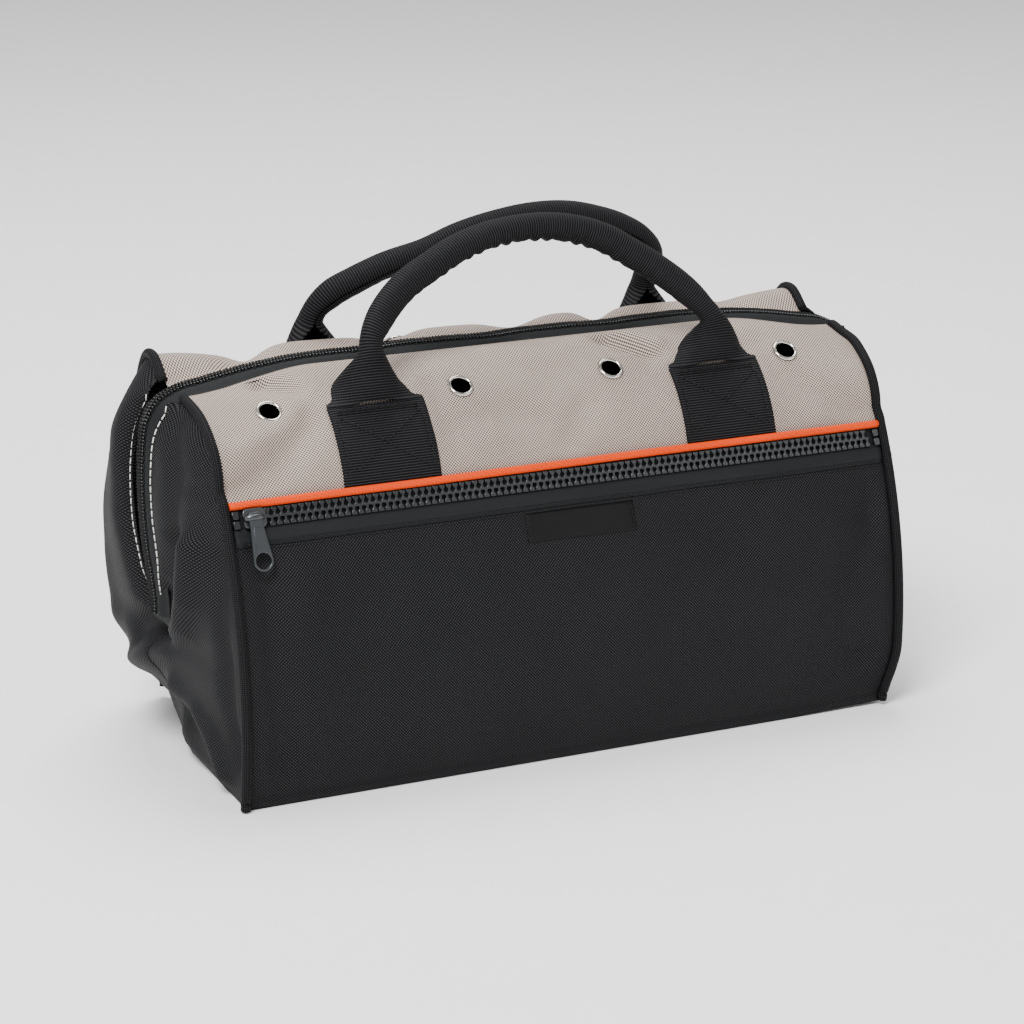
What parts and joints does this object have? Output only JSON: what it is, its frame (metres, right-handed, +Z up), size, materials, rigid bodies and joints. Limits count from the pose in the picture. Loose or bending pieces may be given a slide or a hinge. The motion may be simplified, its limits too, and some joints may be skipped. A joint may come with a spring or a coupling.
{
  "type": "wide-mouth field bag",
  "caption": "Soft wide-mouth field bag: two round webbing handles, zipped top on hinged steel hoops, zipped front pocket, eyelets along a light band over dark walls.",
  "frame": {"origin": "middle of the flat bottom face", "axes": "+X along the bag, -Y towards the pocket side, +Z up"},
  "size_m": [0.4058, 0.1872, 0.2644],
  "materials": {
    "taupe_nylon": "coated ballistic weave",
    "black_nylon": "coated ballistic weave",
    "base_nylon": "coated ballistic weave",
    "stiffener_board": "smooth polyethylene board",
    "orange_piping": "fine weave over a cord",
    "black_piping": "ribbed weave over a cord",
    "webbing": "flat ribbed webbing",
    "zip_tape": "herringbone zip tape",
    "zip_teeth": "moulded acetal",
    "slider_metal": "gunmetal plated zinc",
    "nickel": "polished nickel plate",
    "hoop_steel": "zinc plated wire",
    "label_weave": "satin woven label",
    "core_foam": "closed-cell foam rod"
  },
  "bodies": {
    "bag_body": {"base_board": "stiffener_board", "base_panel": "base_nylon", "front_accent_piping": "orange_piping", "front_hem": "taupe_nylon", "front_inner_wall": "black_nylon", "left_end_panel": "black_nylon", "left_front_edge_piping": "black_piping", "left_front_gusset": "black_nylon", "left_pivot": "hoop_steel", "left_rear_edge_piping": "black_piping", "left_rear_gusset": "black_nylon", "pocket_panel": "black_nylon", "pocket_tape_lower": "zip_tape", "pocket_tape_upper": "zip_tape", "pocket_teeth_lower": "zip_teeth", "pocket_teeth_upper": "zip_teeth", "pocket_zip_stops": "zip_teeth", "rear_accent_piping": "orange_piping", "rear_hem": "taupe_nylon", "rear_wall": "black_nylon", "right_end_panel": "black_nylon", "right_front_edge_piping": "black_piping", "right_front_gusset": "black_nylon", "right_pivot": "hoop_steel", "right_rear_edge_piping": "black_piping", "right_rear_gusset": "black_nylon", "top_slider": "slider_metal", "woven_label": "label_weave"},
    "front_mouth": {"front_band": "taupe_nylon", "front_eyelet_washers": "nickel", "front_eyelets": "nickel", "front_hoop": "hoop_steel", "front_zip_tape": "zip_tape", "front_zip_teeth": "zip_teeth", "left_front_anchor": "webbing", "left_front_band_piping": "black_piping", "right_front_anchor": "webbing", "right_front_band_piping": "black_piping"},
    "rear_mouth": {"left_rear_anchor": "webbing", "left_rear_band_piping": "black_piping", "rear_band": "taupe_nylon", "rear_eyelet_washers": "nickel", "rear_eyelets": "nickel", "rear_hoop": "hoop_steel", "rear_zip_tape": "zip_tape", "rear_zip_teeth": "zip_teeth", "right_rear_anchor": "webbing", "right_rear_band_piping": "black_piping"},
    "front_handle": {"front_handle_core": "core_foam", "front_handle_strap": "webbing"},
    "rear_handle": {"rear_handle_core": "core_foam", "rear_handle_strap": "webbing"},
    "pocket_slider": {"pocket_slider": "slider_metal"},
    "pocket_pull": {"pocket_pull": "slider_metal"},
    "top_pull": {"top_pull": "slider_metal"}
  },
  "joints": [
    {"name": "front_mouth_open", "type": "hinge", "parent": "bag_body", "child": "front_mouth", "pos_m": [0, 0, 0.08], "axis": [1, 0, 0], "range_deg": [0, 30], "deforming": ["left_front_gusset", "right_front_gusset"]},
    {"name": "rear_mouth_open", "type": "hinge", "parent": "bag_body", "child": "rear_mouth", "pos_m": [0, 0, 0.08], "axis": [-1, 0, 0], "range_deg": [0, 30], "deforming": ["left_rear_gusset", "right_rear_gusset"]},
    {"name": "front_handle_fold", "type": "hinge", "parent": "front_mouth", "child": "front_handle", "pos_m": [0, -0.04635, 0.18596], "axis": [1, 0, 0], "range_deg": [0, 140]},
    {"name": "rear_handle_fold", "type": "hinge", "parent": "rear_mouth", "child": "rear_handle", "pos_m": [0, 0.04635, 0.18596], "axis": [-1, 0, 0], "range_deg": [0, 140]},
    {"name": "pocket_zip_slide", "type": "slide", "parent": "bag_body", "child": "pocket_slider", "axis": [1, 0, 0], "range_m": [0, 0.335]},
    {"name": "pocket_pull_swing", "type": "hinge", "parent": "pocket_slider", "child": "pocket_pull", "pos_m": [-0.168, -0.07323, 0.14264], "axis": [1, 0, 0], "range_deg": [-100, 0]},
    {"name": "top_pull_swing", "type": "hinge", "parent": "bag_body", "child": "top_pull", "pos_m": [0.20375, 0, 0.07], "axis": [0, 1, 0], "range_deg": [-120, 0]}
  ]
}
